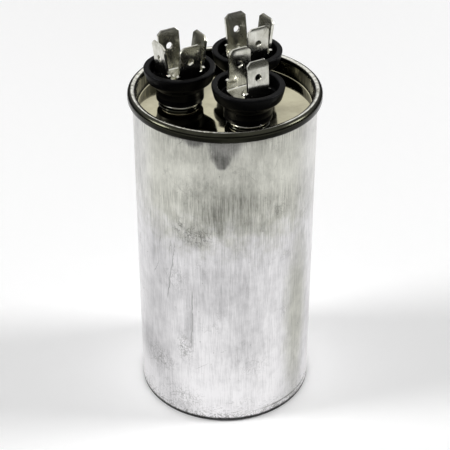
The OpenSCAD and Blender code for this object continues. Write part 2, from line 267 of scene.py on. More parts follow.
# %% [markdown]
# ## Aluminium of the can
# The can is drawn and then brushed, so its grain runs up and down. Its upper half is painted
# darker, a painted reflection of the dim room around the paper, and handling has left smudges,
# fine scratches, scribbles and small pits near the base. Its sides are painted a little lighter as
# a painted highlight, and darker patches low at the far sides are a painted reflection of the
# floor's shadows. The wall is unrolled into length around and height, so that every mark has a
# plain place on a flat map, in millimetres. A patch is a frayed oval, a wedge narrows downwards to
# a point, and a scratch is a thin line that leans and wanders.

# %% A map of the wall and its marks
class WallMap(Finish):
    def unroll(self):
        """Finds the length around from the front and the height, and two noises for marks."""
        split = self.make("ShaderNodeSeparateXYZ", {0: self.place}).outputs
        back = self.sum("MULTIPLY", split[1], -1.0)
        turn = self.sum("ARCTAN2", split[0], back)
        self.around = self.sum("MULTIPLY", turn, can_r / mm)
        self.height = self.sum("DIVIDE", split[2], mm)
        self.fray = self.noise(self.stretch(1, 1, 0.5), 330, 5, 0.7)
        self.mottle = self.noise(self.place, 240, 5, 0.65)

    def frayed_oval(self, x, z, half_w, half_h, strength, fuzz=1.4):
        """A frayed oval at x around and z up."""
        outer, inner = 1.45, 0.2
        dx = self.sum("DIVIDE", self.sum("SUBTRACT", self.around, x), half_w)
        dz = self.sum("DIVIDE", self.sum("SUBTRACT", self.height, z), half_h)
        far = self.sum("SQRT", self.sum("ADD", self.sum("MULTIPLY", dx, dx),
                                        self.sum("MULTIPLY", dz, dz)))
        frayed = self.sum("ADD", far, self.swing(self.fray, fuzz))
        return self.ramp(frayed, outer, inner, 0.0, strength)

    def wedge(self, x, tip, top, half_w, strength):
        """A patch that is half_w wide at the top and narrows downwards to a point."""
        outer, inner, fuzz = 1.5, 0.65, 1.1
        narrowest, rounding, fade = 0.02, 0.5, 0.9
        depth = self.slope(self.height, tip, top, narrowest, 1.0)
        room = self.sum("MULTIPLY", self.sum("POWER", depth, rounding), half_w)
        far = self.sum("DIVIDE", self.distance(self.around, x), room)
        frayed = self.sum("ADD", far, self.swing(self.fray, fuzz))
        above = self.ramp(self.height, tip, tip + fade)
        return self.sum("MULTIPLY", self.ramp(frayed, outer, inner, 0.0, strength), above)

    def scratch(self, x, low, high, lean, width, strength, sway=2.6):
        """A fine line from low to high that wanders and leans."""
        line = self.sum("MULTIPLY", self.sum("SUBTRACT", self.height, low), lean)
        middle = self.sum("ADD", self.sum("ADD", line, self.swing(self.mottle, sway)), x)
        within = self.sum("MULTIPLY", self.ramp(self.height, low - 1, low + 1),
                          self.ramp(self.height, high + 1, high - 2))
        off = self.distance(self.around, middle)
        return self.sum("MULTIPLY", self.ramp(off, width, 0.2 * width, 0.0, strength), within)

# %% [markdown]
# ## Where the marks lie
# Each mark is one row, so it is moved by changing a number. Patches, spots and scribbles give
# their place around, their place up, half width, half height, strength and, where it isn't the
# usual, how frayed they are. The patches are smudges and painted shade: those low at the far sides
# paint the floor's shadows mirrored in the wall. The band on the right is a painted reflection of
# the floor's shadow too, and gives the same columns. A scratch gives its place around, where it
# starts and ends, its lean, its width, its strength and how far it wanders. The drip is the one
# wedge, under the rim.

# %% Where the marks lie
# smudges and painted shade: the patches low at the far sides, near 25 mm around, paint the floor's
# shadows mirrored in the wall
smudges_and_painted_shade = [
    (2, 74, 11, 9, 0.32), (2, 84, 13, 9, 0.15), (16, 71, 6, 6, 0.13), (-10, 73, 8, 9, 0.10),
    (-9.5, 63.5, 5.5, 4.5, 0.17), (3, 53, 9, 12, 0.09), (9, 62, 10, 5, 0.09),
    (5, 37, 6, 9, 0.10), (7.5, 24, 5.5, 8, 0.17), (-26, 18.5, 6.5, 8.5, 0.24),
    (-23, 4, 9, 7, 0.05), (-11, 90, 10, 5, 0.17), (17, 90, 13, 6, 0.10),
    (-10.3, 32, 1.5, 7, 0.26), (25, 9, 5, 8, 0.18), (-6, 6, 9, 4, 0.06),
    (-4, 44, 9, 9, 0.13), (0, 67, 6, 4, 0.06), (-30, 80, 5, 14, 0.09)]
spots = [(1.6, 92.4, 3.4, 4.0, 0.38, 0.5),
         (-8.5, 93, 3.4, 1.4, 0.42, 2.2), (-13, 93.4, 2.6, 1.0, 0.42, 2.2)]
drip = (-0.9, 85.0, 92.4, 3.2, 0.41)
# painted reflection: the floor's shadow mirrored as a darker, warm band on the right
reflected_shadow_band = (23.6, 32, 5.2, 27, 0.9, 0.8)
scratches = [
    (-17.3, 41, 54, 0.16, 0.2, 0.6, 1.4), (-9.6, 27, 46, 0.02, 0.2, 0.62, 0.9),
    (-15.2, 52, 61, 0.10, 0.18, 0.5, 1.6), (-16.5, 57, 61, 0.3, 0.16, 0.45),
    (-12.8, 91, 94, 0.9, 0.18, 0.5), (-10.8, 77, 79.5, -1.3, 0.2, 0.45),
    (-13.4, 78.6, 80, -1.4, 0.2, 0.4), (-14.8, 45, 50, -0.8, 0.17, 0.4),
    (-8.6, 18.6, 21.5, 1.5, 0.2, 0.45), (8, 81.5, 83.5, -1.0, 0.18, 0.45),
    (13.5, 84, 86, 0.5, 0.2, 0.4), (17, 79, 80.5, -1.6, 0.16, 0.3),
    (20.5, 22, 25, 1.2, 0.18, 0.35), (-1, 36, 66, 0.0, 0.14, 0.14, 0.3),
    (-20, 58, 61.5, 0.2, 0.16, 0.35), (-22.5, 47, 52, 0.5, 0.16, 0.4),
    (-27, 13, 17, 1.6, 0.2, 0.45), (-19.6, 15, 21, -0.1, 0.2, 0.5),
    (11, 77, 78.6, -0.9, 0.16, 0.4), (3, 58, 60, 0.4, 0.15, 0.3)]
scribbles = [(-8.3, 64.2, 6, 3.6, 1.0, 1.0), (-12.6, 66.0, 1.8, 3.2, 1.0, 1.0),
             (-22, 17.5, 6.5, 4, 0.8, 1.0), (-12, 25.5, 2.8, 5, 0.8, 1.0),
             (16, 71, 3.5, 4, 0.5, 1.0), (-14.5, 49, 4, 5, 0.4, 1.0),
             (-13, 7, 8, 4.5, 0.6, 1.2), (-10, 78, 4, 4, 0.35, 1.0),
             (8, 20, 5, 4, 0.4, 1.0)]
print("smudges_and_painted_shade", len(smudges_and_painted_shade), "scratches", len(scratches), "scribbles", len(scribbles))

# %% [markdown]
# ## Tone of the wall
# Brushed metal shows its grain as fine streaks along the draw, with broader bands and soft darker
# patches over them: smudges, and painted shade where the far sides mirror the floor's shadows. The
# wall is also painted darker towards the top, a painted reflection of the dim room, and a little
# lighter at its sides, a painted highlight. Every one of these is a little darkness, the highlight
# a negative one, and they are added up. Dirt hides the grain, so the streaks fade where a spot is,
# and below the rim some of them shine through.

# %% Patches, painted shade, grain and streaks
def wall_tones(f):
    """How dark the wall is, and the patterns that the finish uses again."""
    grain = f.noise(f.stretch(1, 1, 0.035), 4600, 3, 0.7)
    bands = f.noise(f.stretch(1, 1, 0.12), 900, 4, 0.65)
    patches = f.noise(f.stretch(1, 1, 0.7), 90, 4, 0.6)
    ragged = f.sum("ADD", f.height, f.swing(f.mottle, 26))
    # upper marks the top of the wall: painted darker there, a painted reflection of the dim room,
    # and tinted warm
    upper = f.ramp(ragged, 55, 72)
    # painted highlight: the wall is painted a little lighter towards its sides, away from the
    # front
    edge = f.ramp(f.sum("ABSOLUTE", f.around), 17, 31)
    # the patches: smudges, and painted shade for the mirrored floor shadows
    cloud = f.gather("ADD", [f.frayed_oval(*mark) for mark in smudges_and_painted_shade])
    spot = f.gather("MAXIMUM", [f.frayed_oval(*mark) for mark in spots] + [f.wedge(*drip)])
    clear = f.ramp(spot, 0.1, 0.45, 1.0, 0.35)
    drawn = f.slope(f.height, 45, 72, 0.62, 1.1)
    lines = f.slope(grain, 0.40, 0.60, -0.125, 0.125)
    # the slope of ragged height paints the wall darker towards the top, a painted reflection of
    # the dim room
    tones = [cloud, spot, f.slope(ragged, 2, 62, 0.02, 0.20),
             f.sum("MULTIPLY", upper, 0.09),
             f.slope(patches, 0.35, 0.65, -0.05, 0.05),
             f.slope(f.mottle, 0.38, 0.62, -0.05, 0.05),
             f.sum("MULTIPLY", lines, f.sum("MULTIPLY", clear, drawn)),
             f.slope(bands, 0.38, 0.62, -0.04, 0.04),
             f.sum("MULTIPLY", edge, -0.03)]
    below_rim = f.sum("MULTIPLY", f.ramp(f.height, 75, 80), f.ramp(f.height, 93, 86))
    bright = f.sum("MULTIPLY", f.ramp(grain, 0.50, 0.59), below_rim)
    shine = f.sum("MULTIPLY", f.sum("MULTIPLY", bright, clear), 0.28)
    dark = f.sum("SUBTRACT", f.gather("ADD", tones), shine)
    return {"grain": grain, "upper": upper, "edge": edge, "cloud": cloud, "spot": spot,
            "dark": dark}

# %% [markdown]
# ## Wear of the wall, and painted shade at its foot
# Small pits crowd in the lowest centimetre, as damp would leave them, and only a few lie higher. A
# noise equals one half along winding lines, so showing only what lies close to one half draws
# loops, and a noise stretched upwards draws hairs. Hairs are kept to the scribbled places, and
# loops are faint elsewhere. At the foot lies a dark line, partly the can's dark edge and partly
# painted contact shade where the can stands, and a worn line just above it, on one side.

# %% Pits, scribbles, the painted shade at the foot and the worn line
def pits(f):
    grit = f.noise(f.stretch(1, 1, 1.6), 1100, 3, 0.7)
    low_zone = f.ramp(f.sum("ADD", f.height, f.sum("MULTIPLY", f.mottle, 9)), 12, 4.5)
    few = f.ramp(f.noise(f.place, 900, 2, 0.6), 0.72, 0.77)
    lowest = f.ramp(f.sum("ADD", f.height, f.sum("MULTIPLY", f.mottle, 7)), 8.5, 4.5)
    specks = f.ramp(f.noise(f.place, 1500, 2, 0.6), 0.52, 0.60)
    return f.gather("MAXIMUM", [f.sum("MULTIPLY", f.ramp(grit, 0.53, 0.61), low_zone),
                                f.sum("MULTIPLY", specks, lowest),
                                f.sum("MULTIPLY", few, 0.8)])


def scribbled(f):
    loops = f.noise(f.place, 420, 3, 0.6, 0.6)
    hairs = f.noise(f.stretch(1, 1, 0.45), 620, 2, 0.5, 0.5)
    hand = f.gather("MAXIMUM", [f.frayed_oval(*mark) for mark in scribbles])
    thin = f.ramp(f.noise(f.place, 120, 2), 0.58, 0.66, 0.0, 0.3)
    loop_line = f.ramp(f.distance(loops, 0.5), 0.030, 0.006)
    hair_line = f.ramp(f.distance(hairs, 0.5), 0.030, 0.006)
    return f.sum("MAXIMUM", f.sum("MULTIPLY", loop_line, f.sum("MAXIMUM", hand, thin)),
                 f.sum("MULTIPLY", hair_line, f.sum("MULTIPLY", hand, 0.8)))


def foot_shade_and_worn_line(f):
    """The dark line at the foot, partly the can's dark edge and partly painted contact shade, and
    the worn line above it.
    """
    foot_top, worn_z = 1.95, 3.3
    level = f.sum("ADD", f.height, f.sum("MULTIPLY", f.mottle, 0.5))
    # painted contact shade: the lowest two millimetres darken to near black, over the can's dark
    # edge
    foot = f.ramp(level, foot_top, 1.4, 0.0, 0.95)
    worn = f.ramp(f.distance(level, worn_z), 0.45, 0.1, 0.0, 0.75)
    broken = f.ramp(f.mottle, 0.40, 0.52, 0.3, 1.0)
    one_side = f.ramp(f.around, 8, 15)
    return foot, f.sum("MULTIPLY", worn, f.sum("MULTIPLY", one_side, broken))

# %% [markdown]
# ## Finish of the can
# The darkness picks a tone between bright and dull metal, once in a cool and once in a warm cast.
# The upper half, less so at the sides, and the band on the right are warm, the rest is cool; the
# band, a painted reflection of the floor's shadow, is darker as well. Damage and the foot's dark
# line, partly painted contact shade, are laid over that, and the damage also looks sunk by about a
# hundredth of a millimetre, so that it catches the light.

# %% Finish of the can
def aluminium():
    f = WallMap("drawn_aluminium", Metallic=1.0, Roughness=0.34)
    f.unroll()
    wall = wall_tones(f)
    cut = f.gather("MAXIMUM", [f.scratch(*line) for line in scratches])
    foot, worn = foot_shade_and_worn_line(f)
    damage = f.gather("MAXIMUM", [cut, f.sum("MULTIPLY", scribbled(f), 0.68),
                                  f.sum("MULTIPLY", pits(f), 0.7), worn])
    # painted reflection of the floor's shadow: the band is painted darker and warm
    shadow_band = f.frayed_oval(*reflected_shadow_band)
    warm = f.sum("MULTIPLY", wall["upper"], f.ramp(wall["edge"], 0.0, 1.0, 0.9, 0.35))
    warm = f.sum("MAXIMUM", warm, shadow_band)
    warm = f.sum("MULTIPLY", warm, f.slope(wall["spot"], 0.0, 0.5, 1.0, 0.55))
    shade = f.slope(f.sum("ADD", wall["dark"], f.sum("MULTIPLY", shadow_band, 0.22)), 0.0, 1.0)
    cool_tone = f.blend(shade, (0.84, 0.83, 0.84, 1), (0.060, 0.059, 0.066, 1))
    warm_tone = f.blend(shade, (0.83, 0.83, 0.745, 1), (0.07, 0.07, 0.055, 1))
    marked = f.blend(damage, f.blend(warm, cool_tone, warm_tone), (0.10, 0.10, 0.09, 1))
    # the foot's dark line, partly painted contact shade, is laid over all
    colour = f.blend(foot, marked, (0.012, 0.012, 0.012, 1))
    rough = f.sum("ADD", f.slope(wall["grain"], 0.3, 0.7, 0.28, 0.38),
                  f.sum("MULTIPLY", wall["cloud"], 0.15))
    relief = f.sum("SUBTRACT", f.sum("MULTIPLY", wall["grain"], 0.5), damage)
    return f.feed(Base_Color=colour, Roughness=rough, Normal=f.bump(relief, 0.012 * mm))


can_finish = aluminium()
print("can finish", len(can_finish.node_tree.nodes), "nodes")

# %% [markdown]
# ## The can
# A real can is drawn from one disc of aluminium. Here a filled circle is its
# base, and the rim is drawn up through the base radius, the wall, the neck
# inside the seam and back down the inner side, so the wall has its thickness.
# A gentle displacement gives the wall the waviness of thin sheet.

# %% Draw the can
def draw_can():
    drop_selection()
    base_r, dish, corner = 21 * mm, 0.25 * mm, 0.8 * mm
    bpy.ops.mesh.primitive_circle_add(vertices=256, radius=base_r, fill_type="NGON",
                                      location=(0, 0, dish))
    piece = bpy.context.object
    bpy.ops.object.transform_apply(location=True)
    wall_top = seam_top - seam_h
    bpy.ops.object.mode_set(mode="EDIT")
    bpy.ops.mesh.select_mode(type="EDGE")
    bpy.ops.mesh.select_all(action="SELECT")
    # from the dished base out to the wall's corner
    rings = [(21.4 * mm, 0.22 * mm), (21.8 * mm, 0.03 * mm), (22.2 * mm, 0)]
    rings += [(can_r - corner, 0)] + arc(can_r - corner, corner, corner, -90, 0, 6)
    steps = 48
    rings += [(can_r, corner + (wall_top - corner) * i / steps) for i in range(1, steps + 1)]
    # the neck, as millimetres inside the wall and above the seam's lower edge
    neck = ((0.2, 0.6), (0.2, 1.5), (0.6, 1.5), (0.6, 0.6), (0.5, 0))
    rings += [(can_r - inside * mm, wall_top + up * mm) for inside, up in neck]
    # down the inner side and around its rounded floor
    fillet, fillet_z = 0.6 * mm, 1.6 * mm
    rings += [(can_r - 0.5 * mm, fillet_z)]
    rings += arc(can_r - 1.1 * mm, fillet_z, fillet, 0, -90, 4)
    draw_rings((base_r, dish), rings)
    bpy.ops.mesh.edge_face_add()
    bpy.ops.object.mode_set(mode="OBJECT")
    close_up(piece)
    return piece


can = draw_can()
ripple = bpy.data.textures.new("sheet_ripple", "CLOUDS")
ripple.noise_scale = 0.014
wall = can.vertex_groups.new(name="wall")
wall.add([p.index for p in can.data.vertices if 2 * mm < p.co.z < 92 * mm], 1.0, "REPLACE")
waviness = 0.16 * mm
apply_modifier(can, "DISPLACE", texture=ripple, strength=waviness, mid_level=0.5,
               texture_coords="LOCAL", vertex_group="wall")
finish_piece(can, "can_shell", "can", can_finish)

# %% [markdown]
# ## Tinplate of the lid
# The lid is bright tinplate with a warm cast, mirror-like on its flat panel.
# The seam is painted dark, darkest on its lower part, and the crown of the roll is painted bright,
# a painted highlight. The pan's inner wall is darker, with lighter streaks. The distance from the
# axis says which zone a point is in, and the distance from the terminals finds the three collars.
# The foot of each collar, under its cup, gets painted shade, and its lip a painted highlight.

# %% Finish of the lid
def tinplate():
    f = Finish("tinplate", Metallic=1.0, Roughness=0.1)
    split = f.make("ShaderNodeSeparateXYZ", {0: f.place}).outputs
    flat = f.make("ShaderNodeCombineXYZ", {0: split[0], 1: split[1]}).outputs[0]
    out = f.make("ShaderNodeVectorMath", {0: flat}, operation="LENGTH").outputs["Value"]
    cloud = f.noise(f.place, 110, 4, 0.6)
    fine = f.noise(f.stretch(1, 1, 0.25), 900, 3, 0.6)
    seam = f.ramp(out, 23.95 * mm, 24.2 * mm)
    wall = f.ramp(out, 23.55 * mm, 23.8 * mm)
    crown = f.sum("MULTIPLY", f.ramp(out, 24.3 * mm, 24.5 * mm),
                  f.ramp(out, 25.45 * mm, 25.2 * mm))
    panel_tone = f.blend(f.ramp(cloud, 0.3, 0.7), (0.55, 0.52, 0.37, 1), (0.42, 0.39, 0.27, 1))
    wall_tone = f.blend(f.ramp(fine, 0.51, 0.74), (0.020, 0.020, 0.013, 1), (0.24, 0.23, 0.18, 1))
    # the seam is painted dark, darkest on its lower part
    belt = f.ramp(split[2], seam_top - 1.5 * mm, seam_top - 1.1 * mm)
    seam_dark_tone = f.blend(belt, (0.007, 0.007, 0.005, 1), (0.036, 0.036, 0.026, 1))
    seam_tone = f.blend(f.ramp(cloud, 0.35, 0.7), seam_dark_tone, (0.020, 0.020, 0.014, 1))
    # painted highlight: the crown of the roll is painted brighter than the panel
    crown_highlight = f.blend(f.ramp(fine, 0.25, 0.6), (0.34, 0.33, 0.27, 1), (0.86, 0.85, 0.78, 1))
    reach = [f.make("ShaderNodeVectorMath", {0: flat, 1: (x, y, 0)}, operation="DISTANCE")
             .outputs["Value"] for x, y in terminals.values()]
    near = f.sum("MINIMUM", f.sum("MINIMUM", reach[0], reach[1]), reach[2])
    lip_low, lip_high = panel_z + 0.8 * mm, panel_z + 0.95 * mm
    # painted shade at the foot of each collar, under its cup, and a painted highlight on its lip
    collar = f.sum("MULTIPLY", f.ramp(split[2], lip_high, lip_low),
                   f.ramp(near, 6.0 * mm, 5.85 * mm))
    lip = f.sum("MULTIPLY", f.ramp(split[2], lip_low, lip_high),
                f.ramp(near, 5.7 * mm, 5.5 * mm))
    panel_tone = f.blend(collar, panel_tone, (0.03, 0.03, 0.022, 1))
    panel_tone = f.blend(lip, panel_tone, (0.90, 0.88, 0.80, 1))
    colour = f.blend(wall, panel_tone, wall_tone)
    colour = f.blend(seam, colour, seam_tone)
    colour = f.blend(crown, colour, crown_highlight)
    rough = f.sum("ADD", f.ramp(cloud, 0.3, 0.7, 0.03, 0.08), f.sum("MULTIPLY", seam, 0.17))
    rough = f.sum("ADD", rough, f.sum("MULTIPLY", lip, 0.3))
    relief = f.sum("MULTIPLY", f.sum("ADD", cloud, fine), f.ramp(wall, 0.0, 1.0, 0.04, 0.5))
    return f.feed(Base_Color=colour, Roughness=rough, Normal=f.bump(relief, 0.02 * mm))


lid_finish = tinplate()
print("lid finish", len(lid_finish.node_tree.nodes), "nodes")

# %% [markdown]
# ## The lid
# The press stamps a pan with three turned-up collars, and the roller then
# curls its edge around the can's. The panel is filled between four circles.
# From the outer circle the wall, the crown and the curl are drawn up, and from
# each hole its collar. Solidify then makes it a sheet, a touch thinner than the
# real one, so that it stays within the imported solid.

# %% Press the lid
def press_lid():
    drop_selection()
    stand = seam_r - 2.45 * mm
    fillet = 0.5 * mm
    foot = stand - fillet
    hole = 5.8 * mm
    bpy.ops.mesh.primitive_circle_add(vertices=192, radius=foot, fill_type="NOTHING",
                                      location=(0, 0, panel_z))
    piece = bpy.context.object
    bpy.ops.object.transform_apply(location=True)
    bpy.ops.object.mode_set(mode="EDIT")
    for x, y in terminals.values():
        bpy.ops.mesh.primitive_circle_add(vertices=64, radius=hole, fill_type="NOTHING",
                                          location=(x, y, panel_z))
    bpy.ops.mesh.select_mode(type="EDGE")
    bpy.ops.mesh.select_all(action="SELECT")
    bpy.ops.mesh.fill(use_beauty=True)
    crown_r = 1.225 * mm
    crown_z = seam_top - crown_r
    curl_r = 0.7 * mm
    curl_z = seam_top - seam_h + curl_r
    rings = arc(foot, panel_z + fillet, fillet, -90, 0, 5)
    rings += [(stand, panel_z + (crown_z - panel_z) * i / 6) for i in range(2, 7)]
    rings += arc(seam_r - crown_r, crown_z, crown_r, 180, 0, 18)
    rings += arc(seam_r - curl_r, curl_z, curl_r, 0, -170, 12)
    select_where(piece, lambda p: math.hypot(p.x, p.y) > foot - 0.01 * mm)
    draw_rings((foot, panel_z), rings)
    # each collar's lip, as millimetres from its middle and above the panel
    lip = ((5.3, 1.0), (5.27, 1.13), (5.2, 1.2), (5.08, 1.2))
    for x, y in terminals.values():
        select_where(piece, lambda p: p.z < panel_z + 0.01 * mm
                     and abs(math.hypot(p.x - x, p.y - y) - hole) < 0.02 * mm)
        collar = arc(hole, panel_z + fillet, fillet, 270, 180, 5)
        collar += [(r * mm, panel_z + up * mm) for r, up in lip]
        draw_rings((hole, panel_z), collar, (x, y))
    bpy.ops.object.mode_set(mode="OBJECT")
    close_up(piece)
    return piece


lid = press_lid()
panel_up = [face.normal.z for face in lid.data.polygons
            if abs(face.center.z - panel_z) < 0.01 * mm]
if sum(panel_up) < 0:
    lid.data.flip_normals()
skin = 0.33 * mm
apply_modifier(lid, "SOLIDIFY", thickness=skin, offset=-1.0)
finish_piece(lid, "lid_pressing", "lid", lid_finish)

# %% [markdown]
# ## Black moulding of the cups
# The cups are a filled phenolic: black, satin, with a faint orange peel and the top of the rim
# painted slightly lighter, a painted highlight. Pointiness would find the rim's edges only in one
# renderer, so the painted highlight follows height and noise.

# %% Finish of the cups
def phenolic():
    f = Finish("black_phenolic", Roughness=0.32, Specular_IOR_Level=0.045)
    peel = f.noise(f.place, 1800, 3, 0.5)
    dust = f.noise(f.place, 500, 5, 0.7)
    split = f.make("ShaderNodeSeparateXYZ", {0: f.place}).outputs
    # painted highlight: the top half millimetre of the rim is painted lighter, varied by noise
    rim = f.ramp(split[2], cup_top - 0.5 * mm, cup_top)
    rim_highlight = f.sum("MULTIPLY", rim, f.ramp(dust, 0.35, 0.7, 0.25, 1.0))
    colour = f.blend(rim_highlight, (0.0012, 0.0012, 0.0014, 1), (0.010, 0.010, 0.011, 1))
    rough = f.ramp(dust, 0.3, 0.7, 0.26, 0.42)
    return f.feed(Base_Color=colour, Roughness=rough, Normal=f.bump(peel, 0.006 * mm))


cup_finish = phenolic()
print("cup finish", len(cup_finish.node_tree.nodes), "nodes")

# %% [markdown]
# ## The cups
# One mould makes all three cups: a spigot that passes the lid, a neck with a
# shallow belt, a flare and a wall with a rounded rim. The outline is drawn
# ring by ring from the bore's lower edge around to its upper edge, and the
# last rings close onto the first. So one cup is drawn on the can's axis and
# copied to each terminal, and each copy gets its own mesh.

# %% Mould one cup and copy it
def mould_cup():
    drop_selection()
    bore_r, spigot_r, neck_r = 1.55, 4.2, 6.05
    bore, base = bore_r * mm, panel_z - sheet
    neck_z = cup_top - 9.4 * mm
    bpy.ops.mesh.primitive_circle_add(vertices=128, radius=bore, fill_type="NOTHING",
                                      location=(0, 0, base))
    piece = bpy.context.object
    bpy.ops.object.transform_apply(location=True)
    bpy.ops.object.mode_set(mode="EDIT")
    bpy.ops.mesh.select_mode(type="EDGE")
    bpy.ops.mesh.select_all(action="SELECT")
    z = neck_z / mm
    # the spigot, the neck's lower edge and its shallow belt
    outline = [(spigot_r, base / mm), (spigot_r, z), (neck_r, z)]
    outline += arc(6.15, z + 0.3, 0.3, -90, 0, 4)
    outline += [(6.45, z + 1.45), (6.4, z + 1.55), (6.4, z + 1.75), (6.45, z + 1.85)]
    # the flare, the wall and its rounded rim
    outline += [(6.45, z + 3.3), (6.5, z + 3.62), (6.62, z + 3.85)]
    outline += [(8.7, z + 5.72), (8.95, z + 6.02), (9.08, z + 6.35), (9.12, z + 6.6)]
    outline += [(9.4, z + 7.6), (9.62, z + 8.75)]
    outline += arc(9.27, z + 9.02, 0.38, 0, 90, 6)
    outline += [(8.4, z + 9.4)] + arc(8.36, z + 9.04, 0.36, 90, 180, 6)
    # down the inside to the floor and the bore
    outline += [(8.0, z + 6.8)] + arc(7.2, z + 6.4, 0.8, 0, -90, 6)
    outline += [(3.0, z + 5.6), (bore_r, z + 5.6), (bore_r, base / mm)]
    draw_rings((bore, base), [(r * mm, h * mm) for r, h in outline])
    bpy.ops.object.mode_set(mode="OBJECT")
    close_up(piece)
    return piece


first_cup = mould_cup()
for name, (x, y) in terminals.items():
    cup = first_cup.copy()
    cup.data = first_cup.data.copy()
    cup.location = (x, y, 0)
    bpy.context.scene.collection.objects.link(cup)
    finish_piece(cup, name + "_cup_moulding", name + "_cup", cup_finish, 30)
bpy.data.objects.remove(first_cup)

# %% [markdown]
# ## Tinned blades
# The blades are stamped from tinned sheet. Rolling leaves fine lengthwise lines
# in the sheet, and handling leaves a few nicks, which look dark against the
# bright tin. The sheared edges get the same finish as the faces.

# %% Finish of the blades
def tinned_sheet():
    f = Finish("tinned_sheet", Metallic=1.0, Roughness=0.2)
    lines = f.noise(f.stretch(1, 1, 0.12), 2400, 3, 0.6)
    cloud = f.noise(f.place, 320, 4, 0.6)
    nicks = f.make("ShaderNodeTexVoronoi",
                   {"Vector": f.stretch(1.4, 0.8, 0.6), "Scale": 520.0, "Randomness": 1.0},
                   feature="DISTANCE_TO_EDGE").outputs["Distance"]
    nick = f.sum("MULTIPLY", f.ramp(nicks, 0.05, 0.01), f.ramp(cloud, 0.55, 0.65))
    tone = f.blend(f.ramp(cloud, 0.3, 0.7), (0.74, 0.735, 0.68, 1), (0.54, 0.535, 0.47, 1))
    colour = f.blend(f.ramp(lines, 0.35, 0.7, 0.0, 0.35), tone, (0.3, 0.29, 0.24, 1))
    colour = f.blend(f.sum("MULTIPLY", nick, 0.55), colour, (0.08, 0.08, 0.06, 1))
    rough = f.sum("ADD", f.ramp(cloud, 0.3, 0.7, 0.13, 0.21), f.sum("MULTIPLY", nick, 0.2))
    relief = f.sum("SUBTRACT", f.sum("MULTIPLY", lines, 0.4), nick)
    return f.feed(Base_Color=colour, Roughness=rough, Normal=f.bump(relief, 0.001 * mm))


blade_finish = tinned_sheet()
print("blade finish", len(blade_finish.node_tree.nodes), "nodes")

# %% [markdown]
# ## The blades
# Each terminal is one stamping: a square foot whose sides are folded up into
# blades. The foot is a plane with clipped corners. A side's edge is spun
# around the fold, then extruded to the shoulder, stepped in to the standard
# blade width and extruded to the clipped tip. Solidify makes the sheet, thinner
# at the tip where the real one is coined, and round cutters make the holes.

# %% Fold one stamping
full_w, shoulder_w, stock = 6.35 * mm, 7.7 * mm, 0.8 * mm
fold_start, mid_fold = 4.0 * mm, 0.9 * mm
above_fold, hole_down = 10.9 * mm, 4.6 * mm
shoulder_h, step_h, clip = 2.35 * mm, 0.25 * mm, 1.1 * mm
coined = 0.5
hair = 0.01 * mm
foot_z = cup_floor + stock / 2


def raise_blade(piece, lean, bow):
    """Folds one side of the foot up, while it faces +Y, and returns its hole's place."""
    select_where(piece, lambda p: p.y > fold_start - hair and abs(p.z - foot_z) < hair)
    bpy.ops.mesh.spin(steps=8, angle=-math.radians(90 - lean), axis=(1, 0, 0),
                      center=(0, fold_start, foot_z + mid_fold))
    slope = math.radians(lean)
    straight = (above_fold - clip - (shoulder_h + step_h)) / 6
    reach = [(shoulder_h, 1), (step_h, full_w / shoulder_w)]
    reach += [(straight, 1)] * 6 + [(clip, (full_w - 2 * clip) / full_w)]
    here = [0, fold_start + mid_fold * math.cos(slope),
            foot_z + mid_fold - mid_fold * math.sin(slope)]
    gone, hole = 0, None
    for length, narrow in reach:
        slope += math.radians(bow) / len(reach)
        step = (0, length * math.sin(slope), length * math.cos(slope))
        bpy.ops.mesh.extrude_region_move(TRANSFORM_OT_translate={"value": step})
        before = gone
        gone += length
        if before < above_fold - hole_down <= gone:
            part = (above_fold - hole_down - before) / length
            hole = (here[1] + part * step[1], here[2] + part * step[2], slope)
        here = [0, here[1] + step[1], here[2] + step[2]]
        bpy.ops.transform.resize(value=(narrow, 1, 1), center_override=here)
    bpy.ops.object.mode_set(mode="OBJECT")
    tip = [p.index for p in piece.data.vertices if p.select]
    piece.vertex_groups["sheet"].add(tip, coined, "REPLACE")
    bpy.ops.object.mode_set(mode="EDIT")
    return hole


def turn_all(degrees):
    bpy.ops.mesh.select_all(action="SELECT")
    bpy.ops.transform.rotate(value=-math.radians(degrees), orient_axis="Z",
                             center_override=(0, 0, 0))

# %% [markdown]
# The blades are folded one at a time: the stamping is turned so that the next
# side faces +Y, folded, and turned back. The cutters are made at the same
# places and taken away with Boolean modifiers, and a small bevel at the end
# rounds every sheared edge so that it catches the light.

# %% Tools that cut and press
def cut_hole(piece, place, side, radius):
    y, z, slope = place
    drop_selection()
    bpy.ops.mesh.primitive_cylinder_add(vertices=40, radius=radius, depth=3 * mm,
                                        location=(0, 0, 0), rotation=(math.pi / 2 - slope, 0, 0))
    cutter = bpy.context.object
    cutter.location = (0, y, z)
    bpy.ops.object.transform_apply(location=True, rotation=True)
    cutter.rotation_euler = (0, 0, math.radians(side))
    bpy.ops.object.transform_apply(rotation=True)
    apply_modifier(piece, "BOOLEAN", operation="DIFFERENCE", object=cutter, solver="EXACT")
    bpy.data.objects.remove(cutter)


def press_dimple(piece, lean, down):
    """A shallow dish on the inner face of the back blade, so far below its tip."""
    ball_r, ball_off = 1.07 * mm, 0.85 * mm
    slope = math.radians(lean)
    up = above_fold - down
    dish = stock / 2 + ball_off
    y = (fold_start + mid_fold * math.cos(slope)
         + up * math.sin(slope) - dish * math.cos(slope))
    z = (foot_z + mid_fold - mid_fold * math.sin(slope)
         + up * math.cos(slope) + dish * math.sin(slope))
    drop_selection()
    bpy.ops.mesh.primitive_uv_sphere_add(segments=32, ring_count=24, radius=ball_r,
                                         location=(0, y, z))
    ball = bpy.context.object
    bpy.ops.object.transform_apply(location=True)
    apply_modifier(piece, "BOOLEAN", operation="DIFFERENCE", object=ball, solver="EXACT")
    bpy.data.objects.remove(ball)

